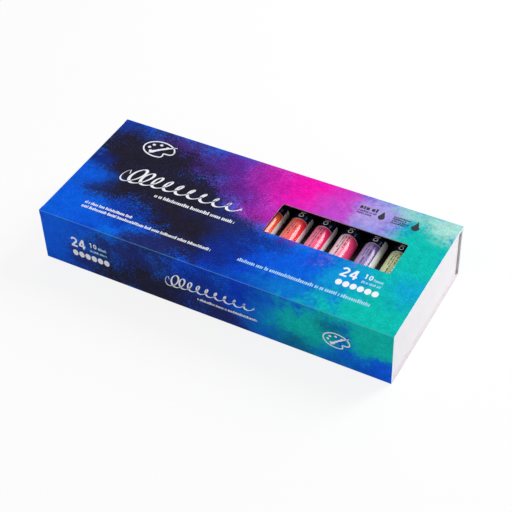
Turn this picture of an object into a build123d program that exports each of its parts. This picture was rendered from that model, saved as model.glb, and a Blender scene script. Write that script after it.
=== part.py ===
from build123d import *
import os
from math import cos, pi, radians, sin

os.makedirs("parts", exist_ok=True)

# Watercolour tube set in a book-style box. Millimetres, +X along the length, front at -Y, +Z up.
# The origin is the centre of the closed box's footprint on the table.

# Tubes: front end is the folded tail, back end carries the screw cap
tubes_per_layer = 12
tube_radius = 8.0
tube_pitch = 21.0
tail_fold = 5.0
tail_thickness = 1.5
tail_tilt = 35.0
taper_length = 30.0
taper_stations = ((0.0, 0.1), (0.3, 0.45), (0.6, 0.75), (1.0, 1.0))
girth_power = 0.6
round_length = 43.0
shoulder_length = 3.2
shoulder_radius = 4.9
neck_radius = 4.0
neck_length = 7.0

# Screw caps
cap_radius = 6.8
cap_length = 13.2
cap_gap = 0.3
cap_bore_clearance = 0.05
cap_bore_spare = 0.3
cap_flutes = 18
flute_depth = 0.55
cap_collar = 1.6
cap_crown = 1.5
cap_step = 0.15
cap_bevel = 0.8

# Shaped sheets that hold the tubes in two layers
sheet = 0.6
sheet_fit = 0.4
sheet_foot = 0.2
seat_clearance = 0.3
land_drop = 2.0
layer_rise = 21.4
cap_room = 4.0
tail_room = 2.0
tail_side_room = 2.0

# Tray, and the room it leaves round the tubes
tray_wall = 1.5
tray_floor = 1.5
tray_corner = 0.8
end_room = 31.5
front_room = 15.2
back_room = 10.3
head_room = 5.5

# Cover boards, and how the tray stands inside them
board = 2.0
board_edge_round = 0.4
crease_gap = 0.1
flap_lift = 0.3
end_overhang = 1.5
flap_clearance = 0.3
spine_clearance = 0.5
rim_clearance = 0.1

# Window in the lid: it spans a number of tubes, moved to the right of their middle
window_tubes = 5
window_first_tube = 6
window_shift = 6.05
window_inset = 2.0
window_depth = 34.7
window_corner = 1.8

# Closure discs in the flap and in the tray's front wall
disc_spread = 180.0
disc_height = 25.0
disc_fit = 0.05
magnet_radius = 5.0
magnet_thickness = 1.2
plate_radius = 6.0
plate_thickness = 0.6

# Lengths worked out from the sizes above
tube_row = tube_pitch * (tubes_per_layer - 1)
tube_length = tail_fold + taper_length + round_length + shoulder_length + cap_gap + cap_length
trough_radius = tube_radius + seat_clearance
tail_half_width = pi * tube_radius / 2
tray_inner_length = tube_row + 2 * end_room
tray_inner_depth = front_room + tube_length + back_room
tray_length = tray_inner_length + 2 * tray_wall
tray_depth = tray_inner_depth + 2 * tray_wall
set_length = tray_length + 2 * end_overhang
set_depth = tray_depth + flap_clearance + spine_clearance + 2 * board

# Heights
tray_top_of_floor = board + tray_floor
lower_axis = tray_top_of_floor + sheet_foot + sheet + trough_radius
upper_axis = lower_axis + layer_rise
layers = {"lower": lower_axis, "upper": upper_axis}
board_underside = upper_axis + tube_radius + head_room
set_height = board_underside + board
crease_level = board_underside - crease_gap
tray_rim = board_underside - rim_clearance

# Places along the depth, from front to back
half_depth = set_depth / 2
flap_inner = -half_depth + board
tray_front = flap_inner + flap_clearance
tube_front = tray_front + tray_wall + front_room
crimp_end = tube_front + tail_fold
round_start = crimp_end + taper_length
round_end = round_start + round_length
shoulder_end = round_end + shoulder_length
cap_start = shoulder_end + cap_gap
cap_end = cap_start + cap_length
tray_back = tray_front + tray_depth
spine_inner = half_depth - board

# Shaped sheets inside the tray walls
insert_half = tray_inner_length / 2 - sheet_fit
insert_front = tray_front + tray_wall + sheet_fit
insert_back = tray_back - tray_wall - sheet_fit
pocket_half = tube_row / 2 + tail_half_width + tail_side_room

# Window outline
window_length = window_tubes * tube_pitch
window_left = window_first_tube * tube_pitch - tube_row / 2 + window_shift
window_center_x = window_left + window_length / 2
window_center_y = round_start + window_inset + window_depth / 2


# The two closure discs on a plane across the depth, whose second axis points down
disc_places = ((-disc_spread / 2, -disc_height), (disc_spread / 2, -disc_height))


def save(piece, name):
    piece.label = name
    export_step(piece, f"parts/{name}.step")


def tube_x(index):
    return (index - (tubes_per_layer - 1) / 2) * tube_pitch


def cross_plane(y, x=0.0, z=0.0, tilt=0.0):
    # A plane square to the tubes at depth y, its first axis turned up by tilt degrees from +X.
    first_axis = (cos(radians(tilt)), 0, sin(radians(tilt)))
    return Plane(origin=(x, y, z), x_dir=first_axis, z_dir=(0, 1, 0))


def make_base_board():
    front = flap_inner + crease_gap
    with BuildPart() as base_board:
        with BuildSketch(Plane.XY):
            with Locations((0, (front + spine_inner) / 2)):
                Rectangle(set_length, spine_inner - front)
        extrude(amount=board)
    return base_board.part


def make_spine_board():
    with BuildPart() as spine_board:
        with BuildSketch(Plane.XY):
            with Locations((0, (spine_inner + half_depth) / 2)):
                Rectangle(set_length, board)
        extrude(amount=crease_level)
        lower_back = spine_board.edges().filter_by(Axis.X).group_by(Axis.Z)[0].sort_by(Axis.Y)[-1]
        fillet(lower_back, board_edge_round)
    return spine_board.part


def make_lid_board():
    with BuildPart() as lid_board:
        with BuildSketch(Plane.XY.offset(board_underside)):
            Rectangle(set_length, set_depth)
            with Locations((window_center_x, window_center_y)):
                RectangleRounded(window_length, window_depth, window_corner, mode=Mode.SUBTRACT)
        extrude(amount=board)
        upper_edges = lid_board.faces().sort_by(Axis.Z)[-1].outer_wire().edges()
        fillet(upper_edges, board_edge_round)
    return lid_board.part


def make_front_flap():
    flap_height = crease_level - flap_lift
    with BuildPart() as front_flap:
        with BuildSketch(Plane.XY.offset(flap_lift)):
            with Locations((0, (flap_inner - half_depth) / 2)):
                Rectangle(set_length, board)
        extrude(amount=flap_height)
        front_face = front_flap.faces().sort_by(Axis.Y)[0]
        side_edges = front_face.edges().filter_by(Axis.Z)
        lower_edge = front_face.edges().filter_by(Axis.X).sort_by(Axis.Z)[0:1]
        fillet(side_edges + lower_edge, board_edge_round)
        with BuildSketch(cross_plane(flap_inner - magnet_thickness)):
            with Locations(*disc_places):
                Circle(magnet_radius + disc_fit)
        extrude(amount=magnet_thickness, mode=Mode.SUBTRACT)
    return front_flap.part


def make_flap_magnets():
    with BuildPart() as flap_magnets:
        with BuildSketch(cross_plane(flap_inner - magnet_thickness)):
            with Locations(*disc_places):
                Circle(magnet_radius)
        extrude(amount=magnet_thickness)
    return flap_magnets.part


def make_tray():
    middle = (tray_back + tray_front) / 2
    with BuildPart() as tray:
        with BuildSketch(Plane.XY.offset(board)):
            with Locations((0, middle)):
                Rectangle(tray_length, tray_depth)
        extrude(amount=tray_rim - board)
        fillet(tray.edges().filter_by(Axis.Z), tray_corner)
        with BuildSketch(Plane.XY.offset(tray_top_of_floor)):
            with Locations((0, middle)):
                Rectangle(tray_inner_length, tray_inner_depth)
        extrude(amount=tray_rim - tray_top_of_floor, mode=Mode.SUBTRACT)
        with BuildSketch(cross_plane(tray_front)):
            with Locations(*disc_places):
                Circle(plate_radius + disc_fit)
        extrude(amount=plate_thickness, mode=Mode.SUBTRACT)
    return tray.part


def make_tray_plates():
    with BuildPart() as tray_plates:
        with BuildSketch(cross_plane(tray_front)):
            with Locations(*disc_places):
                Circle(plate_radius)
        extrude(amount=plate_thickness)
    return tray_plates.part


def make_moulded_block(axis_z, foot_z, inset):
    # The block that the sheet is formed over: troughs for the tubes, one pocket across for the tails.
    land_z = axis_z - land_drop - inset
    trough = trough_radius + inset
    pocket_floor = axis_z - trough
    pocket_front = tube_front - tail_room - inset
    pocket_back = round_start + inset
    trough_end = cap_end + cap_room + inset
    front = insert_front + inset
    back = insert_back - inset
    with BuildPart() as block:
        with BuildSketch(Plane.XY.offset(foot_z)):
            with Locations((0, (front + back) / 2)):
                Rectangle(2 * (insert_half - inset), back - front)
        extrude(amount=land_z - foot_z)
        with BuildSketch(cross_plane(pocket_back)):
            with Locations(*[(tube_x(index), -axis_z) for index in range(tubes_per_layer)]):
                Circle(trough)
        extrude(amount=trough_end - pocket_back, mode=Mode.SUBTRACT)
        with BuildSketch(Plane.XY.offset(pocket_floor)):
            with Locations((0, (pocket_front + pocket_back) / 2)):
                Rectangle(2 * (pocket_half + inset), pocket_back - pocket_front)
        extrude(amount=land_z - pocket_floor, mode=Mode.SUBTRACT)
    return block.part


def make_insert(axis_z, foot_z):
    outer_form = make_moulded_block(axis_z, foot_z, 0.0)
    inner_form = make_moulded_block(axis_z, foot_z, sheet)
    with BuildPart() as insert:
        add(outer_form)
        add(inner_form, mode=Mode.SUBTRACT)
    return insert.part


def flattened_half_width(half_thickness):
    # Half the width of the tube where it is pressed to this half thickness, its girth kept nearly the same.
    spread = (1 - half_thickness / tube_radius) ** girth_power
    return tube_radius + (tail_half_width - tube_radius) * spread


def make_tube(x, z):
    with BuildPart() as tube:
        with BuildSketch(cross_plane(tube_front, x, z, tail_tilt)):
            SlotOverall(2 * tail_half_width, tail_thickness)
        extrude(amount=tail_fold)
        for share, pressed in taper_stations:
            half_thickness = tube_radius * pressed
            with BuildSketch(cross_plane(crimp_end + taper_length * share, x, z, tail_tilt)):
                Ellipse(flattened_half_width(half_thickness), half_thickness)
        loft()
        with BuildSketch(cross_plane(round_start, x, z)):
            Circle(tube_radius)
        extrude(amount=round_length)
        with BuildSketch(cross_plane(round_end, x, z)):
            Circle(tube_radius)
        with BuildSketch(cross_plane(shoulder_end, x, z)):
            Circle(shoulder_radius)
        loft()
        with BuildSketch(cross_plane(shoulder_end, x, z)):
            Circle(neck_radius)
        extrude(amount=neck_length)
    return tube.part


def fluted_outline():
    # Ridges and valleys by turns round the cap, the ridges a step inside the collar.
    ridge = cap_radius - cap_step
    corners = [Vector(ridge, 0).rotate(Axis.Z, i * 180 / cap_flutes) for i in range(2 * cap_flutes)]
    return [corner * (1 - flute_depth / ridge * (i % 2)) for i, corner in enumerate(corners)]


def make_cap(x, z):
    with BuildPart() as cap:
        with BuildSketch(cross_plane(cap_start, x, z)):
            Circle(cap_radius)
        extrude(amount=cap_collar)
        with BuildSketch(cross_plane(cap_start + cap_collar, x, z)):
            with BuildLine():
                Polyline(*fluted_outline(), close=True)
            make_face()
        extrude(amount=cap_length - cap_collar - cap_crown)
        with BuildSketch(cross_plane(cap_end - cap_crown, x, z)):
            Circle(cap_radius - cap_step - flute_depth - cap_step)
        extrude(amount=cap_crown)
        chamfer(cap.faces().sort_by(Axis.Y)[-1].edges(), cap_bevel)
        with BuildSketch(cross_plane(cap_start, x, z)):
            Circle(neck_radius + cap_bore_clearance)
        extrude(amount=neck_length - cap_gap + cap_bore_spare, mode=Mode.SUBTRACT)
    return cap.part


save(make_base_board(), "base_board")
save(make_spine_board(), "spine_board")
save(make_lid_board(), "lid_board")
save(make_front_flap(), "front_flap")
save(make_flap_magnets(), "flap_magnets")
save(make_tray(), "tray")
save(make_tray_plates(), "tray_plates")
save(make_insert(lower_axis, tray_top_of_floor), "lower_insert")
save(make_insert(upper_axis, lower_axis - land_drop), "upper_insert")
for layer, axis_z in layers.items():
    for index in range(tubes_per_layer):
        number = f"{index + 1:02d}"
        save(make_tube(tube_x(index), axis_z), f"{layer}_tube_{number}")
        save(make_cap(tube_x(index), axis_z), f"{layer}_cap_{number}")
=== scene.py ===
import bpy
import numpy as np
from mathutils import Matrix, Vector


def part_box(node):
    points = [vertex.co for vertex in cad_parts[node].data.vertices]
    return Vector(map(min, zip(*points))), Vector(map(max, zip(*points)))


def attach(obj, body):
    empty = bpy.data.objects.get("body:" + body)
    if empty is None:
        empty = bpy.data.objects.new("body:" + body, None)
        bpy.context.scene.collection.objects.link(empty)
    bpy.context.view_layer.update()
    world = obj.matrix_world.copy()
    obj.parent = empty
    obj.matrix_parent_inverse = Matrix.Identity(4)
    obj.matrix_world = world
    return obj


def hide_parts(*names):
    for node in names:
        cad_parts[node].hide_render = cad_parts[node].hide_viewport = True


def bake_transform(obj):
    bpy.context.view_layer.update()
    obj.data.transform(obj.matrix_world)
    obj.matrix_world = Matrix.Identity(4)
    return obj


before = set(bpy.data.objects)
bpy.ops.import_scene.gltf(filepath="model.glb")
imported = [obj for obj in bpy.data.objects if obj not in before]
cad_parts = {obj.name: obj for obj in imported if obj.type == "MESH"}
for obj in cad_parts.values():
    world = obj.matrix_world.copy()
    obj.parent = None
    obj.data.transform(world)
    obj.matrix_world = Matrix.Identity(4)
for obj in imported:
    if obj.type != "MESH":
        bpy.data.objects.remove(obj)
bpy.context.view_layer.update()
print("frame loaded")

mm = 0.001
lidLow, lidHigh = (np.array(v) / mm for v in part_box("lid_board"))
flapLow, flapHigh = (np.array(v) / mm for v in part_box("front_flap"))
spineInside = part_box("spine_board")[0][1] / mm
topLevel = float(lidHigh[2])  # the lid's printed face
frontPlane = float(lidLow[1])  # the flap's printed face
backPlane = float(lidHigh[1])  # the spine's printed face
endPlane = float(lidHigh[0])  # the boards' cut ends


class Flow:
    # A value on its way through a material's nodes. Arithmetic and comparisons on it add Math nodes.
    def __init__(self, tree, socket):
        self.tree = tree
        self.socket = socket

    def math(self, operation, *others):
        return addNode(self.tree, "Math", 0, dict(enumerate((self, *others))), operation=operation)


flowMethods = {"add": "ADD", "sub": "SUBTRACT", "mul": "MULTIPLY", "truediv": "DIVIDE",
               "lt": "LESS_THAN", "gt": "GREATER_THAN", "abs": "ABSOLUTE"}
for method, operation in flowMethods.items():
    setattr(Flow, f"__{method}__", lambda flow, *others, name=operation: flow.math(name, *others))


def feed(socket, value):
    if isinstance(value, Flow):
        value.tree.links.new(value.socket, socket)
    elif value is not None:
        socket.default_value = value


def into(sockets, **values):
    for label, value in values.items():  # a socket's name is written with _ for each space
        feed(sockets[label.replace("_", " ")], value)


def addNode(tree, kind, output, inputs, **settings):
    node = tree.nodes.new("ShaderNode" + kind)
    for label, value in settings.items():
        setattr(node, label, value)
    for place, value in inputs.items():
        feed(node.inputs[place], value)
    return Flow(tree, node.outputs[output])


def treeOf(*values):
    return next(value.tree for value in values if isinstance(value, Flow))


def vectorMath(operation, a, b=None):
    second = "Scale" if operation == "SCALE" else 1
    result = "Value" if operation == "LENGTH" else "Vector"
    return addNode(a.tree, "VectorMath", result, {0: a, second: b}, operation=operation)


def partsOf(vector):
    node = addNode(vector.tree, "SeparateXYZ", 0, {0: vector}).socket.node
    return [Flow(vector.tree, socket) for socket in node.outputs]


def joined(x, y, z=0.0):
    return addNode(treeOf(x, y, z), "CombineXYZ", 0, {0: x, 1: y, 2: z})


def eased(value, low, high, outLow=0.0, outHigh=1.0):
    # an eased step from outLow, where value is low, to outHigh, where it is high
    return addNode(value.tree, "MapRange", 0, {0: value, 1: low, 2: high, 3: outLow, 4: outHigh},
                   interpolation_type="SMOOTHSTEP")


def within(value, middle, half):
    return abs(value - middle) < half  # 1 where value lies less than half away from middle


def either(a, b):
    return a.math("MAXIMUM", b)


def mixed(factor, a, b, way="MIX"):
    inputs = {0: factor, 6: a, 7: b}
    return addNode(treeOf(factor, a, b), "Mix", 2, inputs, data_type="RGBA", blend_type=way)


def shaded(colour, level):
    return mixed(1.0, colour, joined(level, level, level), "MULTIPLY")


def noise(vector, scale, detail=2.0, rough=0.55, warp=0.0, output="Fac"):
    return addNode(vector.tree, "TexNoise", output, {"Vector": vector, "Scale": scale, "Detail": detail,
                                                     "Roughness": rough, "Distortion": warp})


def localPlace(vector, location, size, turn):
    # a place as seen from a spot: its location, turn and size are taken off
    return addNode(vector.tree, "Mapping", 0, {"Vector": vector, "Location": location, "Scale": size,
                                               "Rotation": (0, 0, np.radians(turn))}, vector_type="TEXTURE")


def bumped(height, distance, strength):
    return addNode(height.tree, "Bump", 0, {"Height": height, "Distance": distance, "Strength": strength})


def newGroup(name, inputs, outputs):
    tree = bpy.data.node_groups.new(name, "ShaderNodeTree")
    for label, kind, value in inputs:
        socket = tree.interface.new_socket(label, in_out="INPUT", socket_type="NodeSocket" + kind)
        if value is not None:
            socket.default_value = value
    for label, kind in outputs:
        tree.interface.new_socket(label, in_out="OUTPUT", socket_type="NodeSocket" + kind)
    given = tree.nodes.new("NodeGroupInput").outputs
    return {socket.name: Flow(tree, socket) for socket in given}, tree.nodes.new("NodeGroupOutput").inputs


def useGroup(tree, name, **values):
    node = tree.nodes.new("ShaderNodeGroup")
    node.node_tree = bpy.data.node_groups[name]
    into(node.inputs, **values)
    return {socket.name: Flow(tree, socket) for socket in node.outputs}


def ink(red, green, blue):
    srgb = np.array((red, green, blue)) / 255.0  # paint colour as seen on a screen, made linear
    linear = np.where(srgb <= 0.04045, srgb / 12.92, ((srgb + 0.055) / 1.055) ** 2.4)
    return (*[float(v) for v in linear], 1.0)


def newMaterial(name, roughness=0.5, **constants):
    material = bpy.data.materials.new(name)
    material.use_nodes = True
    sockets = material.node_tree.nodes["Principled BSDF"].inputs
    into(sockets, Roughness=roughness, **constants)
    return material, material.node_tree, sockets


def objectPlace(tree):
    return vectorMath("SCALE", addNode(tree, "TexCoord", "Object", {}), 1 / mm)  # millimetres


def giveMaterial(obj, material):
    obj.data.materials.clear()
    obj.data.materials.append(material)


def finishPiece(piece, material, body, replaced=None):
    giveMaterial(piece, material)
    if replaced:
        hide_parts(replaced)
    if body:
        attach(piece, body)


# The printed wash. Places are x and v in mm, where v runs along the sheet from the flap's lower edge,
# over the lid, to the foot of the spine: on the lid v is y, on the flap it goes on downwards.
washLook = {
    "ground": (ink(5, 74, 206), ink(3, 108, 228)),
    "grainSize": 1.25,  # mm, pigment speckle
    "grainDepth": 0.50,
    "grainEdge": 1.5,  # how far the speckle breaks up the edge of a blot
    "grainShade": 1.2,  # how much the speckle lightens and darkens, for each unit of grainDepth
    "mottleScale": 0.16,  # cells for each mm, as the other scales here
    "mottleDepth": 0.34,
    "fleck": (0.024, 0.020, 0.050, 1.0),
    "drift": 6.0,  # mm, how far the whole wash is stirred
    "driftScale": 0.045,
    "poolScale": 0.028,  # the two ground blues lie in pools
    "broadScale": 0.05,  # broad and sponge are the two noises that fray a blot's edge
    "broadEdge": 1.4,
    "spongeScale": 0.30,
    "spongeEdge": 1.3,
    "edgeShifts": {"A": (0, 0, 0), "B": (310, 170, 40)},
    "blotEnd": 1.15,  # a blot is gone at this many half lengths from its middle
    "paints": {
        "azure": ink(4, 92, 226), "cobalt": ink(3, 50, 184), "navy": ink(12, 44, 138),
        "indigo": ink(30, 38, 96), "soot": ink(28, 25, 42), "damson": ink(68, 34, 112),
        "violet": ink(92, 34, 142), "fuchsia": ink(172, 28, 160), "magenta": ink(226, 22, 180),
        "rose": ink(244, 10, 174), "orchid": ink(190, 70, 202), "lilac": ink(172, 158, 226),
        "haze": ink(112, 148, 220), "sky": ink(6, 160, 212), "sea": ink(4, 122, 204),
        "teal": ink(3, 188, 174), "lagoon": ink(3, 112, 150), "mint": ink(172, 222, 212),
    },
}

washBlots = [
    # x, v, half length, half width, turn, paint, inner edge, strength, edge noise
    (-134, -40, 54, 34, -8, "azure", 0.1, 0.9, "A"),
    (4, -44, 78, 38, -4, "cobalt", 0.2, 0.9, "B"),
    (68, -54, 64, 25, 8, "sea", 0.1, 0.85, "A"),
    (50, -28, 40, 20, 10, "azure", 0.1, 0.8, "B"),
    (132, 12, 45, 88, 6, "teal", 0.45, 0.98, "B"),
    (120, -54, 38, 34, 10, "teal", 0.35, 0.97, "A"),
    (140, -18, 24, 18, -14, "sky", 0.1, 0.8, "A"),
    (94, -24, 26, 22, -20, "sky", 0.15, 0.8, "B"),
    (26, 40, 74, 50, -6, "magenta", 0.3, 0.98, "A"),
    (30, 54, 48, 27, 8, "rose", 0.2, 0.95, "B"),
    (60, 30, 32, 38, 18, "orchid", 0.15, 0.9, "A"),
    (88, 44, 26, 30, -16, "lilac", 0.25, 0.97, "B"),
    (82, 16, 26, 18, 0, "haze", 0.2, 0.9, "A"),
    (4, 4, 36, 17, -8, "fuchsia", 0.1, 0.75, "B"),
    (-26, 22, 38, 26, 12, "violet", 0.2, 0.92, "A"),
    (-12, 46, 32, 24, 10, "fuchsia", 0.1, 0.8, "B"),
    (-40, 48, 30, 28, 8, "violet", 0.2, 0.92, "A"),
    (-62, 36, 36, 25, -8, "damson", 0.3, 0.94, "B"),
    (-92, 50, 38, 28, 0, "damson", 0.25, 0.94, "A"),
    (-132, 50, 36, 24, 10, "indigo", 0.25, 0.92, "B"),
    (-116, 26, 60, 29, 8, "soot", 0.55, 1.0, "B"),
    (-90, 4, 58, 32, 2, "soot", 0.55, 1.0, "A"),
    (-56, 2, 52, 29, -18, "soot", 0.45, 0.98, "B"),
    (-46, -18, 62, 28, -6, "soot", 0.55, 1.0, "A"),
    (-112, -14, 30, 18, 12, "soot", 0.4, 0.95, "B"),
    (-8, -16, 38, 22, 10, "indigo", 0.35, 0.96, "B"),
    (-32, -40, 36, 28, 0, "soot", 0.5, 1.0, "A"),
    (-52, -58, 30, 17, 8, "indigo", 0.3, 0.93, "B"),
    (-144, 8, 22, 12, 10, "navy", 0.1, 0.8, "A"),
    (-138, -8, 26, 13, -12, "azure", 0.15, 0.85, "B"),
    (-86, -36, 26, 18, 16, "navy", 0.15, 0.85, "B"),
    (0, -42, 24, 28, 12, "navy", 0.2, 0.88, "A"),
    (24, -18, 32, 13, -4, "navy", 0.15, 0.85, "A"),
    (146, -58, 26, 22, 0, "teal", 0.4, 0.97, "A"),
    (142, 58, 30, 20, -20, "mint", 0.1, 0.92, "B"),
    (108, 60, 22, 11, -8, "mint", 0.05, 0.6, "A"),
    # front flap
    (-138, -92, 34, 32, 6, "azure", 0.3, 0.93, "B"),
    (-106, -98, 30, 22, 0, "indigo", 0.2, 0.9, "A"),
    (-68, -78, 44, 19, 4, "indigo", 0.3, 0.92, "B"),
    (-50, -104, 60, 25, 3, "soot", 0.45, 0.98, "A"),
    (-2, -82, 34, 18, -6, "navy", 0.2, 0.88, "B"),
    (6, -106, 46, 17, -3, "indigo", 0.3, 0.93, "A"),
    (32, -76, 30, 22, 0, "cobalt", 0.2, 0.88, "A"),
    (54, -94, 28, 30, -6, "sea", 0.2, 0.88, "B"),
    (84, -86, 34, 32, 10, "teal", 0.35, 0.93, "A"),
    (70, -106, 24, 15, 0, "lagoon", 0.1, 0.85, "B"),
    (102, -78, 18, 13, 0, "lagoon", 0.15, 0.85, "B"),
    (116, -108, 30, 15, 6, "sea", 0.2, 0.9, "A"),
    (136, -80, 32, 23, -8, "teal", 0.35, 0.96, "A"),
    (146, -106, 34, 15, 0, "azure", 0.3, 0.93, "B"),
    # spine
    (-96, 92, 60, 30, 0, "indigo", 0.3, 0.9, "A"),
    (-30, 100, 44, 26, 0, "violet", 0.2, 0.9, "B"),
    (34, 92, 50, 32, 0, "magenta", 0.2, 0.9, "A"),
    (104, 94, 48, 32, 0, "teal", 0.25, 0.9, "B"),
]


def makeWashGroup():
    # Blots of paint are laid over a ground of two blues, one after another: each is an ellipse whose
    # cover eases off with the distance from its middle, and noises are added to that distance.
    look = washLook
    given, out = newGroup("watercolourWash", [("Place", "Vector", None)],
                          [("Colour", "Color"), ("Pigment", "Float")])
    place = given["Place"]
    slow = noise(place, look["driftScale"], 3.0, 0.5, output="Color")
    stir = vectorMath("SUBTRACT", slow, (0.5, 0.5, 0.5))
    stirred = vectorMath("ADD", place, vectorMath("SCALE", stir, look["drift"] * 2))
    speck = noise(place, 1 / look["grainSize"], 3.0, 0.7)
    edges = {}
    for label, shift in look["edgeShifts"].items():
        moved = vectorMath("ADD", place, shift)
        broad = (noise(moved, look["broadScale"], 3.0, 0.6) - 0.5) * look["broadEdge"]
        sponge = (noise(moved, look["spongeScale"], 4.0, 0.72) - 0.5) * look["spongeEdge"]
        edges[label] = broad + sponge + (speck - 0.5) * look["grainEdge"]
    pool = eased(noise(place, look["poolScale"], 4.0, 0.62), 0.36, 0.64)
    colour = mixed(pool, *look["ground"])
    for x, v, long, wide, turn, paint, inner, strength, edge in washBlots:
        local = partsOf(localPlace(stirred, (x, v, 0), (long, wide, 1), turn))
        reach = vectorMath("LENGTH", joined(local[0], local[1]))
        cover = eased(reach + edges[edge], inner, look["blotEnd"], strength, 0.0)
        colour = mixed(cover, colour, look["paints"][paint])
    mottle = noise(place, look["mottleScale"], 4.0, 0.65)
    grain = (speck - 0.5) * (look["grainDepth"] * look["grainShade"] * 2) + 1.0
    grain = grain + (mottle - 0.5) * (look["mottleDepth"] * 2)
    light = eased(speck, 0.54, 0.70) * eased(mottle, 0.38, 0.60)
    into(out, Colour=mixed(light, shaded(colour, grain), look["fleck"], "ADD"), Pigment=speck)


def makePaperGroup():
    # fibres are a noise stretched along x, and the paper's tooth is a finer noise over them
    given, out = newGroup("paperFibre", [("Place", "Vector", None), ("Size", "Float", 0.35)],
                          [("Height", "Float"), ("Tone", "Float")])
    finer = vectorMath("DIVIDE", given["Place"], joined(given["Size"], given["Size"], given["Size"]))
    fibre = noise(vectorMath("MULTIPLY", finer, (0.35, 1.0, 0.6)), 1.0, 3.0, 0.6, 0.4)
    tooth = noise(finer, 1.6, 2.0, 0.5)
    into(out, Height=fibre * 0.6 + tooth * 0.4, Tone=noise(given["Place"], 0.06))


# shape of the painted highlight line along the lid's folded edges
foldHighlightLook = {
    "stretch": 0.25,  # the breaks in the line are four times as long as wide
    "narrow": 0.2,  # share of Width that the line always has to each side
    "uneven": 1.6,  # share of Width that the breaks add at most
    "core": 0.55,  # the line fades from this share of its own half width
    "fade": 1.1,  # to this one
}


def makePaintedHighlightGroup():
    # a painted highlight: a broken pale line where the paper is bent over an edge that runs along x
    look = foldHighlightLook
    given, out = newGroup("paintedFoldHighlight", [("Place", "Vector", None), ("Edge Y", "Float", 0.0),
                                         ("Edge Z", "Float", 0.0), ("Width", "Float", 0.5)],
                          [("Mask", "Float")])
    x, y, z = partsOf(given["Place"])
    away = vectorMath("LENGTH", joined(y - given["Edge Y"], z - given["Edge Z"]))
    broken = noise(joined(x * look["stretch"], y, z), 1.0, 4.0, 0.7)
    width = given["Width"] * (broken * look["uneven"] + look["narrow"])
    into(out, Mask=eased(away / width, look["core"], look["fade"], 1.0, 0.0))


makeWashGroup()
makePaperGroup()
makePaintedHighlightGroup()
print("shared effects built")

# The boards of the cover
boardLook = {
    # painted highlight along the lid's rounded folded edges: its pale colour and how much it covers
    "creaseHighlight": ink(120, 196, 236),
    "creaseHighlightCover": 0.36,
    "frontHighlight": 0.42,  # mm, width of the painted highlight line at the lid's front edge
    "backHighlight": 0.5,
    "cutEnd": ink(226, 240, 243),
    "cutEdge": ink(236, 206, 220),
    "cutLip": 0.55,  # mm, the pale paper lip of the window; its wall below is black
    "windowWall": ink(16, 14, 18),
    "spineLining": ink(204, 194, 192),
    "endBand": 0.12,  # mm from the end plane that counts as the cut end
    "skin": 0.05,  # mm, the room for rounding beside a face
    "printSkin": 0.15,  # mm below the lid's face that still counts as print
    "shine": 0.035,
    "fibre": 0.4,  # mm
}

windowLook = {"left": 16.55, "front": -8.0, "length": 105.0, "depth": 34.7}


def sheetPlace(place):
    # x and v along the wrapped sheet, worked out from a place on the closed box
    x, y, z = partsOf(place)
    return joined(x, y - y.math("SIGN") * (z - topLevel))


def printedColour(place):
    wash = useGroup(place.tree, "watercolourWash", Place=sheetPlace(place))
    front, back = (useGroup(place.tree, "paintedFoldHighlight", Place=place, Edge_Y=edge, Edge_Z=topLevel,
                            Width=boardLook[width])["Mask"]
                   for edge, width in ((frontPlane, "frontHighlight"), (backPlane, "backHighlight")))
    # painted highlight on both folded edges of the lid, broken up by noise
    highlightMix = either(front, back) * boardLook["creaseHighlightCover"]
    return mixed(highlightMix, wash["Colour"], boardLook["creaseHighlight"]), wash["Pigment"]


def finishPrint(sockets, place, pigment):
    fibre = useGroup(place.tree, "paperFibre", Place=place, Size=boardLook["fibre"])
    into(sockets, Normal=bumped(pigment * 0.25 + fibre["Height"], 0.02 * mm, 0.35),
         Roughness=eased(fibre["Height"], 0.2, 0.8, 0.46, 0.58))


def windowCut(x, y, z):
    # 1 on the cut walls of the window, below the printed skin
    halfX, halfY = windowLook["length"] / 2, windowLook["depth"] / 2
    inX = within(x, windowLook["left"] + halfX, halfX + boardLook["skin"])
    inY = within(y, windowLook["front"] + halfY, halfY + boardLook["skin"])
    return inX * inY * (z < topLevel - boardLook["printSkin"])


def printedBoard(name):
    look = boardLook
    material, tree, sockets = newMaterial(name, Specular_IOR_Level=look["shine"])
    place = objectPlace(tree)
    x, y, z = partsOf(place)
    colour, pigment = printedColour(place)
    colour = mixed(abs(x) > endPlane - look["endBand"], colour, look["cutEnd"])
    if name == "printed_lid":
        wall = mixed(z < topLevel - look["cutLip"], look["cutEdge"], look["windowWall"])
        colour = mixed(windowCut(x, y, z), colour, wall)
    if name == "printed_spine":
        colour = mixed(y < spineInside + look["skin"], colour, look["spineLining"])
    into(sockets, Base_Color=colour)
    finishPrint(sockets, place, pigment)
    return material


def plainPaper(name, colour, roughness=0.62, bump=0.3):
    material, tree, sockets = newMaterial(name, roughness, Specular_IOR_Level=0.25)
    fibre = useGroup(tree, "paperFibre", Place=objectPlace(tree), Size=0.3)
    level = eased(fibre["Tone"], 0.25, 0.75, 0.965, 1.0) * eased(fibre["Height"], 0.2, 0.85, 0.975, 1.0)
    into(sockets, Base_Color=shaded(colour, level), Normal=bumped(fibre["Height"], 0.03 * mm, bump))
    return material


def mouldedFinish(name, colour, roughness, grain, bump, metal=0.0, shine=0.5):
    # an even colour with slow clouds, over a fine uneven skin that also changes the roughness
    material, tree, sockets = newMaterial(name, roughness, Metallic=metal, Specular_IOR_Level=shine)
    place = objectPlace(tree)
    peel = noise(place, grain, 3.0)
    level = eased(noise(place, 0.08), 0.3, 0.7, 0.85, 1.1)
    into(sockets, Base_Color=shaded(colour, level), Normal=bumped(peel, 0.05 * mm, bump),
         Roughness=eased(peel, 0.3, 0.7, roughness * 0.85, roughness * 1.15))
    return material


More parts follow.
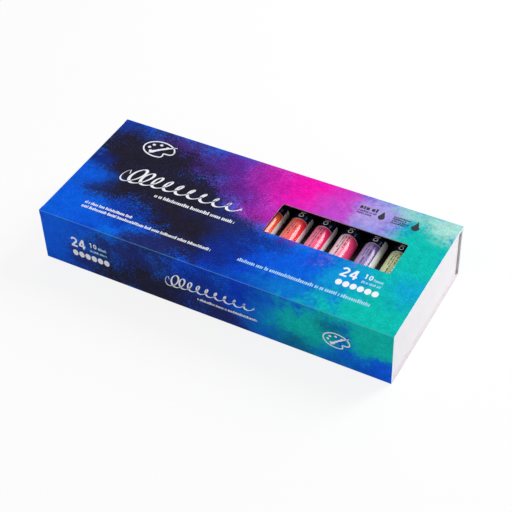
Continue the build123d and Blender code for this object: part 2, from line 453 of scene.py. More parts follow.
finishes = {
    "lid_board": printedBoard("printed_lid"),
    "front_flap": printedBoard("printed_flap"),
    "spine_board": printedBoard("printed_spine"),
    "base_board": plainPaper("base_wrap", ink(222, 213, 217)),
    "tray": plainPaper("tray_paper", ink(240, 237, 241), 0.6, 0.25),
    "upper_insert": mouldedFinish("formed_black", ink(12, 12, 14), 0.42, 1.2, 0.25, shine=0.2),
    "lower_insert": mouldedFinish("formed_black_lower", ink(12, 12, 14), 0.42, 1.2, 0.25, shine=0.2),
    "flap_magnets": mouldedFinish("magnet_nickel", ink(190, 188, 184), 0.3, 3.0, 0.1, 1.0),
    "tray_plates": mouldedFinish("plate_paper", ink(240, 238, 240), 0.6, 3.0, 0.1),
}
for node, material in finishes.items():
    giveMaterial(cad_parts[node], material)
print("boards, tray and sheets dressed")


# Meshes from whole arrays
def meshFromArrays(name, points, corners, sizes, smooth=True):
    mesh = bpy.data.meshes.new(name)
    starts = np.concatenate(([0], np.cumsum(sizes)[:-1]))
    mesh.vertices.add(len(points))
    mesh.vertices.foreach_set("co", (np.asarray(points, float) * mm).ravel())
    mesh.loops.add(len(corners))
    mesh.loops.foreach_set("vertex_index", np.asarray(corners, np.int32))
    mesh.polygons.add(len(sizes))
    mesh.polygons.foreach_set("loop_start", starts.astype(np.int32))
    mesh.polygons.foreach_set("use_smooth", np.full(len(sizes), smooth))
    mesh.update(calc_edges=True)
    mesh.validate()
    if smooth:
        mesh.set_sharp_from_angle(angle=np.radians(38))
    obj = bpy.data.objects.new(name, mesh)
    bpy.context.scene.collection.objects.link(obj)
    return obj


def closedLoops(rows, columns):
    # corners and sizes of the faces between loops that follow each other, and of one face at each end
    row, column = np.meshgrid(np.arange(rows - 1) * columns, np.arange(columns), indexing="ij")
    after = (column + 1) % columns
    quads = np.stack([row + column, row + after, row + after + columns, row + column + columns], 2)
    last = (rows - 1) * columns + np.arange(columns)
    corners = np.concatenate([quads.ravel(), np.arange(columns)[::-1], last])
    return corners, np.concatenate([np.full(quads.size // 4, 4), (columns, columns)])


def ringSurface(name, rings):
    return meshFromArrays(name, rings.reshape(-1, 3), *closedLoops(*rings.shape[:2]))


square = np.array([[0, 0], [1, 0], [1, 1], [0, 1]])
boxSides = np.array([[0, 3, 2, 1], [4, 5, 6, 7], [0, 1, 5, 4], [1, 2, 6, 5], [2, 3, 7, 6], [3, 0, 4, 7]])

# Paper creases: the wrap bent over the lid's long edges
creaseLook = {
    "reach": 5.0,  # mm from the edge to each end of the strip
    "round": 0.45,
    "proud": 0.05,
    "steps": 9,
    "stations": 61,
    "flatRows": 6,
    "nearArc": 0.15,  # share of the reach where a flat stretch meets the round one
    "thinEnd": 0.15,  # share of proud left at the strip's ends
    "thinning": 3.0,
    "paper": 2.2,  # thickness, for each unit of proud
    "bendFrom": 1.0,  # mm from the edge where the blend starts and ends
}


def creaseStrip(name, ySign, edgeY):
    # The strip's section is a thin closed loop: the outer skin from the lid's face, round the edge by
    # a quarter circle, down the upright face, and back along the inside. It is carried along x.
    look = creaseLook
    reach, radius, proud = look["reach"], look["round"], look["proud"]
    angles = np.linspace(0, np.pi / 2, look["steps"])
    arcY = edgeY - ySign * radius + ySign * (radius + proud) * np.sin(angles)
    arcZ = topLevel - radius + (radius + proud) * np.cos(angles)
    flats = np.linspace(1.0, look["nearArc"], look["flatRows"])
    lidY = edgeY - ySign * reach * flats
    feather = proud * np.minimum(1, (1 - flats) * look["thinning"] + look["thinEnd"])
    outerY = np.concatenate([lidY, arcY, edgeY + ySign * feather[::-1]])
    outerZ = np.concatenate([topLevel + feather, arcZ, topLevel - reach * flats[::-1]])
    middle = np.array([edgeY - ySign * reach, topLevel - reach])
    inward = np.stack([middle[0] - outerY, middle[1] - outerZ], 1)
    inward *= look["paper"] * proud / np.linalg.norm(inward, axis=1)[:, None]
    loopY = np.concatenate([outerY, (outerY + inward[:, 0])[::-1]])
    loopZ = np.concatenate([outerZ, (outerZ + inward[:, 1])[::-1]])
    stations = np.linspace(-endPlane, endPlane, look["stations"])[:, None]
    rings = np.stack(np.broadcast_arrays(stations, loopY, loopZ), 2)
    if ySign > 0:
        rings = rings[:, ::-1]
    strip = ringSurface(name, rings)
    rest = strip.data.attributes.new("restPlace", "FLOAT_VECTOR", "POINT")
    rest.data.foreach_set("vector", rings.reshape(-1, 3).astype(np.float32).ravel())
    material, tree, sockets = newMaterial(name + "_print", Specular_IOR_Level=boardLook["shine"])
    place = addNode(tree, "Attribute", "Vector", {}, attribute_name="restPlace")
    colour, pigment = printedColour(place)
    into(sockets, Base_Color=colour)
    finishPrint(sockets, place, pigment)
    finishPiece(strip, material, None)
    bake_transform(strip)


creaseStrip("front_crease_paper", -1, frontPlane)
creaseStrip("back_crease_paper", 1, backPlane)
print("creases bent")

# Tubes, as printed soft aluminium pressed flat at the tail
tubeLook = {
    "round": 96,  # columns
    "dent": 0.05,  # mm
    "dentFrom": 6.5,  # half thickness in mm from which the tube is round enough to dent
    "tilt": 35.0,  # degrees, the tail against the box's floor
    "radius": 8.0,
    "front": -45.0,
    "fold": 5.0,
    "foldHalf": 0.72,
    "pressedHalf": 0.5,
    "taper": 30.0,
    "roundEnd": 33.0,
    "shoulderEnd": 36.2,
    "shoulderRadius": 4.9,
    "neckRadius": 3.95,
    "neckEnd": 43.0,
    "girthPower": 0.6,
    "taperPower": 1.6,
    "taperRows": 30,
    "bodyRows": 18,
    # mm from the tail, and the share of foldHalf that the crimped fold has there
    "foldRows": ((0.0, 0.55), (0.05, 0.85), (0.4, 1), (1.6, 1), (3.2, 1), (4.6, 1), (4.95, 0.9)),
    # mm from the round part's end, and what the radius loses there
    "lipRows": ((-0.5, 0.0), (-0.2, -0.08), (0.0, -0.3), (0.12, -0.7)),
    "flatPower": 6.0,  # superellipse power of the pressed tail, falling to 2 where the tube is round
    "crimpPitch": 1.15,  # mm between the crimped ribs across the fold
    "pitch": 21.0,
    "count": 12,
    "axis": {"upper": 34.0, "lower": 12.6},
}

# three numbers of the strong colour, three of the tint, and the angle in degrees from straight up
# where the white back panel starts
tubePaints = {
    "upper": [
        (250, 222, 40, 252, 240, 150, 78), (250, 190, 20, 252, 226, 130, 70),
        (238, 150, 26, 248, 210, 140, 84), (214, 128, 60, 240, 206, 160, 74),
        (248, 132, 30, 252, 206, 150, 80), (242, 100, 32, 250, 190, 140, 70),
        (252, 98, 52, 255, 168, 150, 60), (252, 50, 62, 255, 136, 120, 62),
        (242, 40, 108, 252, 138, 172, 62), (244, 66, 122, 255, 224, 236, 112),
        (108, 80, 156, 176, 152, 208, 46), (158, 176, 112, 212, 220, 172, 80),
    ],
    "lower": [
        (44, 52, 140, 140, 150, 214, 78), (20, 84, 180, 140, 184, 230, 70),
        (24, 128, 200, 160, 210, 236, 84), (0, 140, 160, 140, 214, 214, 74),
        (0, 120, 96, 130, 204, 180, 80), (44, 130, 60, 160, 208, 140, 70),
        (110, 140, 50, 196, 212, 140, 74), (186, 140, 60, 228, 204, 150, 78),
        (170, 90, 44, 224, 170, 136, 74), (120, 60, 40, 196, 150, 130, 80),
        (80, 66, 60, 170, 158, 150, 66), (40, 42, 50, 140, 144, 154, 90),
    ],
}

labelLook = {
    "bandAt": 24.6,  # mm, where the dark band at the shoulder starts
    "bandCurve": 0.012,  # how far the boundary bows towards the tail at the sides
    "rim": 0.55,  # mm, pale line between band and colour
    "rimCover": 0.55,
    "soft": 0.15,  # mm over which an edge of the print turns
    "backStart": -115.0,  # degrees, the label's far side
    "tintSpan": (-5.0, 5.5), # mm of arc over which the tint turns to full colour
    "swatchDrift": 3.5,
    "lines": ((-2.6, 8.0), (-0.6, -3.0), (1.5, 9.5)),  # arc in mm and the place where each line ends
    "lineHalf": 0.62,
    "lineStart": 22.8,  # mm, the place of all the lines' other end
    "lineCover": 0.9,
    "ring": (-0.6, 28.6),  # the band's plain ring: arc and place of its middle
    "ringRadius": 1.7,
    "ringHalf": 0.38,
    "bar": (-0.4, 2.4, 31.8, 0.35),  # arc, half its length, place and half its width
    "highlightTicks": (4.3, 0.7, 27.4, 1.7),  # a painted highlight on the band, drawn as a row of pale ticks, in the same order
    "highlightTickTurns": 9.0,
    "panelTurns": 4.6,  # how closely the panel's faint lines follow each other
    "panelCover": 0.13,
    "bareFrom": -38.0,  # mm, bare metal from here to the tail
    "band": ink(18, 24, 46),
    "panel": ink(248, 247, 248),
    "print": ink(34, 20, 30),
    # pale blue of the painted highlight on the band
    "row": ink(120, 160, 220),
    "metal": ink(206, 206, 210),
}


def tubeProfile():
    # Rows of (y, half thickness, half width, power) from the tail to the end of the neck: the crimped
    # fold, the taper, where thickness grows by a power curve and width shrinks with it, the round
    # body, its lip and the neck.
    look = tubeLook
    radius, pressed, power = look["radius"], look["pressedHalf"], look["flatPower"]
    foldY, foldShare = np.array(look["foldRows"]).T
    share = np.linspace(0, 1, look["taperRows"])
    taperY = look["front"] + look["fold"] + look["taper"] * share
    taperHalf = pressed + (radius - pressed) * (1 - (1 - share) ** look["taperPower"])
    flatHalf = np.concatenate([look["foldHalf"] * foldShare, taperHalf])
    flatWide = radius + (np.pi / 2 - 1) * radius * (1 - flatHalf / radius) ** look["girthPower"]
    bodyY = np.linspace(taperY[-1], look["roundEnd"] - 0.8, look["bodyRows"])[1:]
    lipY, lipLoss = np.array(look["lipRows"]).T
    neckY = look["shoulderEnd"] + np.array([-0.4, 0.0, 0.1])
    neckR = [look["shoulderRadius"] + 0.35, look["shoulderRadius"], look["neckRadius"], look["neckRadius"]]
    roundR = np.concatenate([np.full(len(bodyY), radius), radius + lipLoss, neckR])
    y = np.concatenate([look["front"] + foldY, taperY, bodyY, look["roundEnd"] + lipY, neckY,
                        [look["neckEnd"]]])
    powers = np.concatenate([np.full(len(foldY), power), 2 + (power - 2) * (1 - share) ** 3,
                             np.full(len(roundR), 2.0)])
    return y, np.concatenate([flatHalf, roundR]), np.concatenate([flatWide, roundR]), powers


def tubeSurface(name, x, z, seed):
    # Each ring is a superellipse whose half thickness, half width and power follow the profile, turned
    # by the tail's tilt; low waves in angle and length leave soft dents in the round part.
    look = tubeLook
    y, half, wide, power = tubeProfile()
    angle, yy = np.meshgrid(np.linspace(0, 2 * np.pi, look["round"], endpoint=False), y)
    waves = np.sin(3 * angle + seed) * np.sin(yy / 9.0 + 1.7 * seed)
    waves += np.sin(5 * angle - seed) * np.sin(yy / 5.0)
    isRound = (half[:, None] > look["dentFrom"]) * (yy < look["roundEnd"] - 1)
    soft = 1 + look["dent"] / look["radius"] * waves * isRound
    bend = 2 / power[:, None]
    across = wide[:, None] * np.sign(np.cos(angle)) * np.abs(np.cos(angle)) ** bend * soft
    up = half[:, None] * np.sign(np.sin(angle)) * np.abs(np.sin(angle)) ** bend * soft
    tilt = np.radians(look["tilt"])
    rings = np.stack([x + across * np.cos(tilt) - up * np.sin(tilt), yy,
                      z + across * np.sin(tilt) + up * np.cos(tilt)], 2)
    return ringSurface(name, rings[::-1])


def makeLabelGroup():
    # Arc is the distance round the tube from its top and Along the place on its axis, both in mm
    look = labelLook
    given, out = newGroup(
        "tubeLabel",
        [("Arc", "Float", 0.0), ("Along", "Float", 0.0), ("Strong", "Color", None), ("Tint", "Color", None),
         ("Panel Start", "Float", 10.0), ("Seed", "Float", 0.0)],
        [("Colour", "Color"), ("Bare", "Float")])
    arc, along, seed = given["Arc"], given["Along"], given["Seed"]
    place = joined(arc, along, seed)
    # colour field, from tint to full colour, with a slightly uneven brushed swatch
    swatch = noise(vectorMath("MULTIPLY", place, (0.5, 0.12, 3.0)), 1.0, 3.0)
    full = eased((swatch - 0.5) * look["swatchDrift"] + arc, *look["tintSpan"])
    field = mixed(full, given["Tint"], given["Strong"])
    # lines of small print, as uneven ticks along the tube
    tick = eased(noise(vectorMath("MULTIPLY", place, (0.9, 1.5, 5.0)), 1.0, 1.0), 0.40, 0.50)
    for at, stop in look["lines"]:
        word = eased(noise(joined(at, along * 0.16, seed), 1.0, 1.0), 0.36, 0.42)
        line = within(arc, at, look["lineHalf"]) * (along > stop) * (along < look["lineStart"])
        field = mixed(line * tick * word * look["lineCover"], field, look["print"])
    # dark band at the shoulder, its boundary bowed, with a pale rim, a plain ring and bar and a row of pale
    # ticks that is a painted highlight
    past = along + arc * arc * look["bandCurve"] - look["bandAt"]
    rim = eased(past, -look["rim"], look["soft"] - look["rim"]) * look["rimCover"]
    field = mixed(rim, field, look["panel"])
    ringAt = vectorMath("LENGTH", joined(arc - look["ring"][0], along - look["ring"][1]))
    ring = within(ringAt, look["ringRadius"], look["ringHalf"])
    bar, row = (within(arc, arcAt, arcHalf) * within(along, alongAt, alongHalf)
                for arcAt, arcHalf, alongAt, alongHalf in (look["bar"], look["highlightTicks"]))
    dark = mixed(either(ring, bar), look["band"], look["panel"])
    # painted highlight: pale blue ticks on the band along the arc where the lamp's streak runs
    dark = mixed(row * ((along * look["highlightTickTurns"]).math("SINE") > -0.1), dark, look["row"])
    colour = mixed(eased(past, 0.0, look["soft"]), field, dark)
    # white back panel with faint grey rows
    words = eased(noise(vectorMath("MULTIPLY", place, (0.2, 0.9, 1.0)), 1.0), 0.46, 0.54)
    grey = eased((arc * look["panelTurns"]).math("SINE"), 0.3, 0.6) * words
    panel = mixed(grey * look["panelCover"], look["panel"], look["print"])
    farSide = arc < float(np.radians(look["backStart"])) * tubeLook["radius"]
    white = either(eased(arc, given["Panel Start"] - 0.1, given["Panel Start"]), farSide)
    bare = either(along < look["bareFrom"], along > tubeLook["roundEnd"] - 0.1)
    into(out, Colour=mixed(bare, mixed(white, colour, panel), look["metal"]), Bare=bare)


makeLabelGroup()


def tubeMaterial(name, x, z, strong, tint, panelDegrees, seed):
    look = tubeLook
    material, tree, sockets = newMaterial(name, 0.3, Specular_IOR_Level=0.16, Coat_Weight=0.55,
                                          Coat_Roughness=0.1)
    px, py, pz = partsOf(objectPlace(tree))
    aside, above = px - x, pz - z
    label = useGroup(tree, "tubeLabel", Arc=aside.math("ARCTAN2", above) * look["radius"], Along=py,
                     Strong=strong, Tint=tint, Seed=seed,
                     Panel_Start=float(np.radians(panelDegrees)) * look["radius"])
    haze = noise(joined(px, py, pz), 0.35, 3.0)
    crumple = noise(joined(px, py * 0.4, pz), 0.5, 3.0, 0.6)
    tilt = np.radians(look["tilt"])
    across = aside * float(np.cos(tilt)) + above * float(np.sin(tilt))
    ribs = (across * (2 * np.pi / look["crimpPitch"])).math("SINE")
    height = ribs * (py < look["front"] + look["fold"] - 0.3) * 1.2 + crumple
    into(sockets, Base_Color=label["Colour"], Metallic=label["Bare"],
         Roughness=eased(haze, 0.3, 0.7, 0.22, 0.34), Normal=bumped(height, 0.12 * mm, 0.3))
    return material


# Screw caps
capLook = {
    "start": 36.5,
    "length": 13.2,
    "radius": 6.8,
    "bore": 4.05,
    "flute": 0.5,  # mm, depth
    "flutePower": 0.7,
    "flutes": 18,
    "round": 108,
    "crown": 0.8,  # mm, radius of the rounding at the closed end
    "dish": 0.12,  # mm, how far the closed end is sunk
    # mm from the start, and what is added to the bore there
    "boreRows": ((7.0, -0.6), (6.95, 0.0), (0.3, 0.0), (0.0, 0.3)),
    # mm from the start, what the radius loses there, and the share of the flutes' depth
    "skirtRows": ((0.0, -0.4, 0), (0.15, -0.1, 0), (0.4, 0, 0), (1.3, 0, 0), (1.55, -0.12, 0),
                  (1.7, -0.3, 0), (1.75, -0.05, 0.4), (2.1, 0, 1), (5.0, -0.03, 1), (8.0, -0.08, 1),
                  (10.8, -0.14, 1), (11.3, -0.3, 0.5), (11.6, -0.55, 0)),
}


def capSurface(name, x, z, turnSeed):
    # A profile of (y, radius, share of fluting) is spun about the tube's axis; the flutes are the
    # positive lobes of a cosine, cut into the radius.
    look = capLook
    end, crown = look["start"] + look["length"], look["crown"]
    boreY, boreGrowth = np.array(look["boreRows"]).T
    skirtY, loss, skirtFlute = np.array(look["skirtRows"]).T
    fillet = np.linspace(0, np.pi / 2, 6)
    y = np.concatenate([look["start"] + boreY, look["start"] + skirtY, end - crown + crown * np.sin(fillet),
                        np.full(2, end - look["dish"])])
    radius = np.concatenate([look["bore"] + boreGrowth, look["radius"] + loss,
                             look["radius"] - 1.4 + crown * np.cos(fillet), [look["radius"] - 1.7, 1.0]])
    flute = np.concatenate([np.zeros(len(boreY)), skirtFlute, np.zeros(len(fillet) + 2)])
    angle, yy = np.meshgrid(np.linspace(0, 2 * np.pi, look["round"], endpoint=False), y)
    lobes = np.clip(np.cos(look["flutes"] * angle + turnSeed), 0, 1) ** look["flutePower"]
    r = radius[:, None] - look["flute"] * flute[:, None] * lobes
    rings = np.stack([x + r * np.sin(angle), yy, z + r * np.cos(angle)], 2)
    return ringSurface(name, rings)


capMaterial = mouldedFinish("cap_black", ink(26, 26, 29), 0.36, 2.2, 0.12)
for layer, axisZ in tubeLook["axis"].items():
    for index in range(tubeLook["count"]):
        number = f"{index + 1:02d}"
        axisX = (index - (tubeLook["count"] - 1) / 2) * tubeLook["pitch"]
        *paint, panelAt = tubePaints[layer][index]
        seed = index * 1.3 + (0.0 if layer == "upper" else 7.0)
        tube = tubeSurface(f"{layer}_paint_tube_{number}", axisX, axisZ, seed)
        label = tubeMaterial(f"label_{layer}_{number}", axisX, axisZ, ink(*paint[:3]), ink(*paint[3:]),
                             panelAt, seed)
        finishPiece(tube, label, "box", f"{layer}_tube_{number}")
        cap = capSurface(f"{layer}_screw_cap_{number}", axisX, axisZ, seed)
        finishPiece(cap, capMaterial, f"{layer}_cap_{number}", f"{layer}_cap_{number}")
print("tubes and caps made")

# Liner papers inside the cover, stopped short of the edges so that the turned-in print shows
linerLook = {"margin": 3.5, "thick": 0.06, "lift": 0.01, "windowMargin": 2.5}


def rectangleLoop(left, front, length, depth, grow):
    # grow moves each side outwards
    return (left - grow, front - grow) + square * (length + 2 * grow, depth + 2 * grow)


def lidLiner():
    # a flat sheet with the window cut out: an outer and an inner loop, joined on both faces
    look = linerLook
    outer = rectangleLoop(-endPlane, frontPlane, 2 * endPlane, backPlane - frontPlane, -look["margin"])
    inner = rectangleLoop(*windowLook.values(), look["windowMargin"])
    high = lidLow[2] - look["lift"]
    low = high - look["thick"]
    loops = [(outer, low), (inner, low), (inner, high), (outer, high)]
    points = np.concatenate([np.column_stack([loop, np.full(4, z)]) for loop, z in loops])
    row, side = np.meshgrid(np.arange(4), np.arange(4), indexing="ij")
    after, below = (side + 1) % 4, (row + 1) % 4
    quads = np.stack([row * 4 + side, below * 4 + side, below * 4 + after, row * 4 + after], 2)
    return meshFromArrays("lid_liner_paper", points, quads.ravel(), np.full(16, 4), False)


def flapLiner():
    # a box, whose corners are each picked from the two ends of x, y and z
    margin, lift, thick = (linerLook[k] for k in ("margin", "lift", "thick"))
    low = np.array((-endPlane, flapHigh[1], flapLow[2])) + (margin, lift, margin)
    high = np.array((endPlane, flapHigh[1], flapHigh[2])) + (-margin, lift + thick, -margin)
    pick = np.column_stack([np.tile(square, (2, 1)), np.repeat([0, 1], 4)])
    points = low + pick * (high - low)
    return meshFromArrays("flap_liner_paper", points, boxSides.ravel(), np.full(6, 4), False)


linerPaper = plainPaper("liner_paper", ink(238, 237, 240))
finishPiece(lidLiner(), linerPaper, "lid")
finishPiece(flapLiner(), linerPaper, "flap")
print("liners laid")

# Print on the wash, drawn in the sheet's x and v and gathered into one mesh for each ink and board.
# Overlapping shapes end at slightly different levels.
printLook = {"thick": 0.02, "lift": 0.01, "step": 0.003, "levels": 6}


def inkMaterial(name, colour):
    material, tree, sockets = newMaterial(name, 0.5, Specular_IOR_Level=0.3)
    worn = noise(objectPlace(tree), 1.4, 3.0, 0.7)
    into(sockets, Base_Color=shaded(colour, eased(worn, 0.25, 0.6, 0.86, 1.0)),
         Roughness=eased(worn, 0.3, 0.7, 0.42, 0.56))
    return material


inks = {
    "white": inkMaterial("white_ink", ink(244, 246, 252)),
    "pale_blue": inkMaterial("pale_blue_ink", ink(176, 218, 250)),
    "black": inkMaterial("black_ink", ink(18, 30, 44)),
}


def onSheet(flat, height, face):
    if face == "top":
        return np.column_stack([flat[:, 0], flat[:, 1], topLevel + height])
    return np.column_stack([flat[:, 0], frontPlane - height, topLevel + flat[:, 1] - frontPlane])


# Each shape is given as flat points, their heights (0 at its foot and 1 at its top), and the corners
# and sizes of its faces
def strokeShape(path, width):
    # a ribbon of changing width along a path: its edges lie half the width to each side of it
    along = np.gradient(path, axis=0)
    along /= np.linalg.norm(along, axis=1)[:, None]
    aside = np.column_stack([-along[:, 1], along[:, 0]]) * (np.ones(len(path)) * width)[:, None] / 2
    flat = np.stack([path - aside, path - aside, path + aside, path + aside], 1).reshape(-1, 2)
    yield flat, np.tile([1, 0, 0, 1], len(path)), *closedLoops(len(path), 4)


flourishLook = {
    "points": 700,
    "crowding": 0.86,  # below 1 the first loops are wider apart
    "startTurn": 0.6,  # radians
    "fall": 7.0,  # how fast the height falls off
    "blunt": 0.18,  # how abruptly the ends close
    "roundness": 0.62,  # a loop's width, for each unit of its height
    "penAngle": 35.0,  # degrees, the edge of the pen
    "entry": 26.0,  # how soon the stroke has its full width
    "hairline": 0.3,  # share of the width left at both ends
    "smallWidth": 0.62,  # share of the width left where the loops are small
}


def penFlourish(left, length, middle, tall, small, loops, pen, slant):
    # A pen's running loops: x goes on steadily while a circle's sine is taken off it, the height
    # falls off from tall to small, and the stroke is thickest where the pen moves across its edge.
    look = flourishLook
    t = np.linspace(0, 1, look["points"])
    turn = 2 * np.pi * loops * t ** look["crowding"] + look["startTurn"]
    height = (small + (tall - small) * np.exp(-look["fall"] * t)) * np.sin(np.pi * t) ** look["blunt"]
    rise = height * np.cos(turn)
    x = left + length * t - height * look["roundness"] * np.sin(turn) + slant * rise
    path = np.column_stack([x, middle + rise])
    run = np.gradient(path, axis=0)
    direction = np.arctan2(run[:, 1], run[:, 0])
    width = pen[0] + (pen[1] - pen[0]) * np.abs(np.sin(direction - np.radians(look["penAngle"]))) ** 1.5
    width *= np.clip(np.minimum(t, 1 - t) * look["entry"], look["hairline"], 1)
    width *= look["smallWidth"] + (1 - look["smallWidth"]) * height / tall
    return strokeShape(path, width)


def brushMark(x, v, length, turn):
    # an artist's brush seen from the side: one stroke whose width swells at the hair and the ferrule
    t = np.linspace(0, 1, 60)
    knots = [0, 0.06, 0.16, 0.24, 0.25, 0.38, 0.39, 0.55, 1.0]
    widths = np.array([0.02, 0.07, 0.125, 0.10, 0.085, 0.10, 0.075, 0.085, 0.022]) * length
    turned = np.radians(turn)
    bend = 0.05 * length * np.sin(np.pi * t)
    path = np.column_stack([x + (t - 0.5) * length * np.cos(turned) - bend * np.sin(turned),
                            v + (t - 0.5) * length * np.sin(turned) + bend * np.cos(turned)])
    return strokeShape(path, np.interp(t, knots, widths))


def spotShape(x, v, rx, rv, point=0.0):
    # a disc, or a drop if point is above 0: the upper half is drawn in towards a tip
    sides = 28
    turn = np.arange(sides) * 2 * np.pi / sides
    up = np.clip(np.sin(turn), 0, 1)
    flat = np.column_stack([x + rx * np.cos(turn) * (1 - point * up ** 0.8),
                            v + rv * np.sin(turn) * (1 + point * up)])
    yield np.tile(flat, (2, 1)), np.repeat([0, 1], sides), *closedLoops(2, sides)


# all but wordEnd, which is a chance, are shares of the line's height
tickLook = {"widths": (0.18, 0.38), "heights": (0.70, 0.74, 0.78, 1.0), "gap": 0.15, "wordGap": 0.45,
            "wordEnd": 0.12}


def tickLine(left, right, v, tall, seed, bold=1.0):
    # small print without letters: upright ticks of uneven width and height with gaps between words
    look = tickLook
    rng = np.random.default_rng(seed)
    marks, x = [], left
    while x < right:
        wide = tall * rng.uniform(*look["widths"]) * bold
        marks.append((x, v, min(wide, right - x), tall * rng.choice(look["heights"])))
        x += wide + tall * (look["gap"] if rng.random() > look["wordEnd"] else look["wordGap"])
    marks = np.array(marks)
    flat = marks[:, None, :2] + square * marks[:, None, 2:]
    flat = np.concatenate([flat, flat], 1).reshape(-1, 2)
    corners = (np.arange(len(marks))[:, None, None] * 8 + boxSides).ravel()
    yield flat, np.tile(np.repeat([0, 1], 4), len(marks)), corners, np.full(len(marks) * 6, 4)


digitStrokes = {
    # each stroke is a bowl (centre, half sizes, first and last angle, and the foot it runs on to) or a
    # straight run between two points, all as shares of the numeral's height
    "2": [("bowl", (0.29, 0.70), (0.23, 0.225), (168, -38), (0.06, 0.08)),
          ("run", (0.0, 0.08), (0.58, 0.08))],
    "4": [("run", (0.40, 0.98), (0.05, 0.34)), ("run", (0.0, 0.29), (0.62, 0.29)),
          ("run", (0.43, 1.0), (0.43, 0.0))],
    "1": [("run", (0.04, 0.80), (0.28, 0.97)), ("run", (0.27, 1.0), (0.27, 0.0))],
    "0": [("bowl", (0.29, 0.5), (0.22, 0.42), (0, 362), None)],
}


def plainNumber(text, x, v, tall, weight=0.17, advance=0.74):
    # plain numerals drawn with a stroke of one width, from arcs and straight runs
    for index, digit in enumerate(text):
        for kind, *shape in digitStrokes[digit]:
            if kind == "bowl":
                centre, half, (first, last), foot = shape
                turn = np.radians(np.linspace(first, last, 33))
                path = centre + np.column_stack([np.cos(turn), np.sin(turn)]) * half
                if foot:
                    path = np.vstack([path, np.linspace(path[-1], foot, 8)[1:]])
            else:
                path = np.linspace(shape[0], shape[1], 6)
            yield from strokeShape((path + (index * advance, 0)) * tall + (x, v), weight * tall)


def paletteMark(x, v, size):
    # A painter's palette: an oval outline with a notch, where the radius is drawn in by a narrow bell
    # round one angle, five dabs along its upper side and a brush across it, in shares of its size.
    degrees = np.linspace(0, 362, 160)
    turn = np.radians(degrees)
    reach = 1 - 0.42 * np.exp(-((degrees - 322) / 17) ** 2)
    outline = np.column_stack([0.62 * np.cos(turn), 0.42 * np.sin(turn)]) * reach[:, None]
    yield from strokeShape((x, v) + size * outline, 0.055 * size)
    for angle in np.radians(range(50, 231, 45)):
        dab = np.array((0.40 * np.cos(angle), 0.25 * np.sin(angle), 0.062, 0.055)) * size
        yield from spotShape(*(dab + (x, v, 0, 0)))
    yield from brushMark(x + 0.16 * size, v + 0.02 * size, 1.1 * size, 38)


# each row is a shape, its ink and that shape's own values
printRows = {
    "top": [
        (paletteMark, "white", -105, 41, 22),
        (penFlourish, "white", -110, 101, 4.5, 17.0, 4.8, 10, (1.0, 3.3), 0.36),
        (tickLine, "white", -78, -7, -11.2, 3.5, 3),
        (tickLine, "white", -123, -80, -40.8, 2.9, 5),
        (tickLine, "white", -123, -8, -45.6, 2.9, 6),
        (tickLine, "pale_blue", 15, 122, -45.0, 3.5, 8),
        (plainNumber, "white", "24", 89, -25.2, 9.6),
        (plainNumber, "white", "10", 106.6, -20.4, 4.8),
        (tickLine, "pale_blue", 114.2, 121.5, -20.4, 2.6, 11),
        (tickLine, "pale_blue", 106.6, 121.5, -25.2, 2.4, 12),
        *[(spotShape, "white", 91.8 + index * 5.8, -31.7, 2.5, 3.0) for index in range(6)],
        (tickLine, "black", 71, 86, 48.6, 4.4, 21, 1.6),
        (tickLine, "black", 71, 86, 45.6, 2.0, 22, 1.5),
        (tickLine, "black", 71, 83, 42.9, 2.0, 23, 1.5),
        (spotShape, "black", 90.5, 46.2, 2.7, 3.6, 0.6),
        *[(tickLine, "black", 99, 113 - (row % 2) * 3, 50.0 - row * 2.3, 1.8, 31 + row, 1.5)
          for row in range(4)],
        (spotShape, "black", 118.4, 46.2, 3.3, 3.9, 0.8),
    ],
    "front": [
        (plainNumber, "white", "24", -123, -90.2, 9.6),
        (plainNumber, "white", "10", -105.6, -85.4, 4.8),
        (tickLine, "pale_blue", -97.8, -90.4, -85.4, 2.6, 41),
        (tickLine, "pale_blue", -105.6, -90.4, -90.2, 2.4, 42),
        *[(spotShape, "white", -120.4 + index * 5.8, -96.8, 2.5, 3.0) for index in range(6)],
        (penFlourish, "white", -34, 73, -88.5, 12.0, 3.4, 10, (0.7, 2.4), 0.36),
        (tickLine, "white", -10, 41, -99.9, 2.6, 43),
        (paletteMark, "white", 106, -89, 17),
    ],
}
printShapes = {}
for face, rows in printRows.items():
    for draw, inkName, *values in rows:
        for flat, height, corners, sizes in draw(*values):
            shapes = printShapes.setdefault((face, inkName), [])
            thick = printLook["thick"] + printLook["step"] * (len(shapes) % printLook["levels"])
            shapes.append((onSheet(flat, printLook["lift"] + height * thick, face), corners, sizes))
for (face, inkName), shapes in printShapes.items():
    points, corners, sizes = zip(*shapes)
    shifts = np.cumsum([0] + [len(p) for p in points])
    shifted = np.concatenate([c + shift for c, shift in zip(corners, shifts)])
    sheetPrint = meshFromArrays(f"{face}_print_{inkName}", np.concatenate(points), shifted,
                                np.concatenate(sizes), False)
    finishPiece(sheetPrint, inks[inkName], "lid" if face == "top" else "flap")
print("print laid on the cover")

# Floor, lights and camera
studioLook = {
    "floorHalf": 3.0,
    "floorCells": 4,
    "floorShade": (0.94, 0.94, 0.945, 1.0),
    "floorGlow": 0.84,  # share of plain white that the camera sees on the floor
    "worldLight": 0.42,
    "lampDistance": 1.5,
    # direction, size and power
    "lamps": {"key_lamp": ((0.45, 0.63, 0.62), (0.42, 1.1), 18.5),
              "fill_lamp": ((-0.55, -0.65, 0.75), (1.4, 1.0), 3.8)},
}

cameraLook = {
    "focalPixels": 1308.23,
    "framePixels": 512,
    "sensor": 36.0,
    "azimuth": 30.089,
    "elevation": 43.347,
    "roll": -2.4366,
    "place": (0.378459, -0.643773, 0.713994),
}


def raySeen(tree):
    # 1 for a ray from the camera, or one that gloss or glass sends on
    node = tree.nodes.new("ShaderNodeLightPath")
    labels = ("Is Camera Ray", "Is Glossy Ray", "Is Transmission Ray")
    camera, glossy, through = (Flow(tree, node.outputs[label]) for label in labels)
    return either(camera, either(glossy, through))


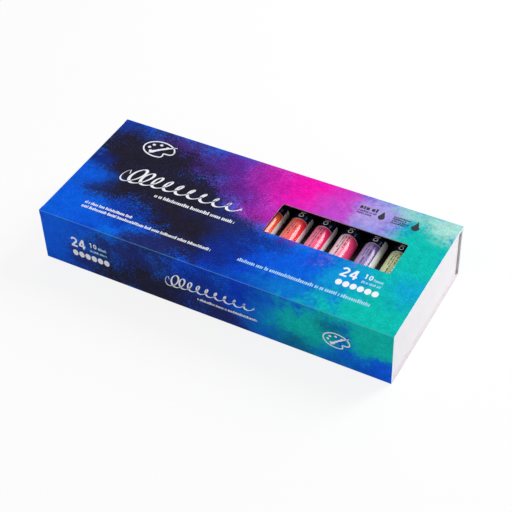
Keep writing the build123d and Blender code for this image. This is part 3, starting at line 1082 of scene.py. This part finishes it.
def makeFloor():
    # a square grid of flat faces, whose corners are counted row by row
    half, cells = studioLook["floorHalf"] / mm, studioLook["floorCells"]
    xx, yy = np.meshgrid(np.linspace(-half, half, cells + 1), np.linspace(-half, half, cells + 1))
    points = np.column_stack([xx.ravel(), yy.ravel(), np.zeros(xx.size)])
    row, column = np.meshgrid(np.arange(cells), np.arange(cells), indexing="ij")
    first = (row * (cells + 1) + column).ravel()
    corners = np.stack([first, first + 1, first + cells + 2, first + cells + 1], 1).ravel()
    floor = meshFromArrays("studio_floor", points, corners, np.full(cells ** 2, 4), False)
    material, tree, sockets = newMaterial("floor_white", 0.9, Specular_IOR_Level=0.0,
                                          Base_Color=studioLook["floorShade"])
    mix = tree.nodes.new("ShaderNodeMixShader")
    feed(mix.inputs[0], raySeen(tree) * studioLook["floorGlow"])
    tree.links.new(tree.nodes["Principled BSDF"].outputs[0], mix.inputs[1])
    tree.links.new(tree.nodes.new("ShaderNodeEmission").outputs[0], mix.inputs[2])
    tree.links.new(mix.outputs[0], tree.nodes["Material Output"].inputs["Surface"])
    giveMaterial(floor, material)


def makeWorld():
    world = bpy.data.worlds.new("studio")
    world.use_nodes = True
    light = studioLook["worldLight"]
    into(world.node_tree.nodes["Background"].inputs, Color=(1, 1, 1, 1),
         Strength=raySeen(world.node_tree) * (1.0 - light) + light)
    bpy.context.scene.world = world


def softLamp(name, direction, size, power):
    lamp = bpy.data.lights.new(name, "AREA")
    lamp.shape = "RECTANGLE"
    lamp.size, lamp.size_y = size
    lamp.energy = power
    obj = bpy.data.objects.new(name, lamp)
    obj.location = Vector(direction).normalized() * studioLook["lampDistance"]
    obj.rotation_euler = obj.location.to_track_quat("Z", "Y").to_euler()
    bpy.context.scene.collection.objects.link(obj)


def makeCamera():
    # the camera looks against back, which is given by its azimuth and elevation, and rolls about it
    look = cameraLook
    azimuth, elevation, roll = (np.radians(look[k]) for k in ("azimuth", "elevation", "roll"))
    level = np.cos(elevation)
    back = Vector((np.sin(azimuth) * level, -np.cos(azimuth) * level, np.sin(elevation)))
    right = Vector((0, 0, 1)).cross(back).normalized()
    up = back.cross(right)
    right, up = (right * np.cos(roll) + up * np.sin(roll), up * np.cos(roll) - right * np.sin(roll))
    camera = bpy.data.cameras.new("photo_camera")
    camera.sensor_width = look["sensor"]
    camera.lens = look["focalPixels"] / look["framePixels"] * look["sensor"]
    camera.clip_start = 0.01
    obj = bpy.data.objects.new("photo_camera", camera)
    turn = Matrix((right, up, back)).transposed().to_4x4()
    obj.matrix_world = Matrix.Translation(look["place"]) @ turn
    bpy.context.scene.collection.objects.link(obj)
    bpy.context.scene.camera = obj


makeFloor()
makeWorld()
for name, settings in studioLook["lamps"].items():
    softLamp(name, *settings)
makeCamera()
bpy.context.scene.view_settings.view_transform = "Standard"
print("studio set")
